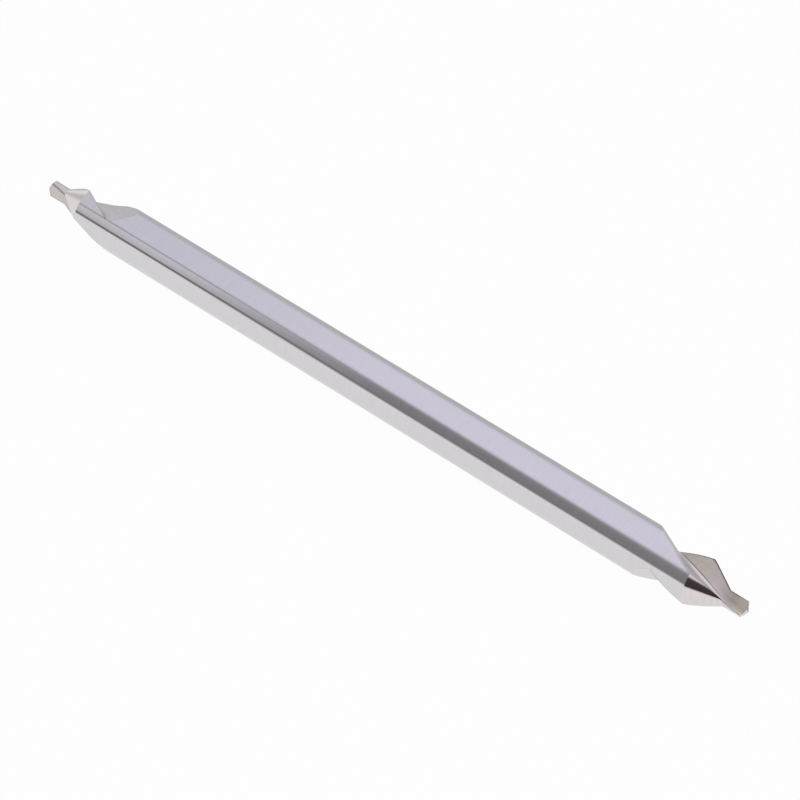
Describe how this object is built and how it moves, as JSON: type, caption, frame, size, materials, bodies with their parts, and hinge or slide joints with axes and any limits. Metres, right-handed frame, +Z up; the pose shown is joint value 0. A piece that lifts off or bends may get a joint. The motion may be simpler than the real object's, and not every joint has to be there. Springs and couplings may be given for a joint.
{
  "type": "centre drill",
  "caption": "Double-ended centre drill: ground round bar with a pilot, a sixty-degree countersink and right-hand flutes at each end, for starting holes and drilling lathe centres.",
  "frame": {"origin": "middle of the bar, on its axis", "axes": "+X along the bar towards the near cutting end, +Z up with the bar lying flat"},
  "size_m": [0.1, 0.006, 0.006],
  "materials": {
    "ground_steel": "bright ground tool steel, polished body with satin ground flutes"
  },
  "bodies": {
    "root": {"centre_drill": "ground_steel"}
  },
  "joints": []
}
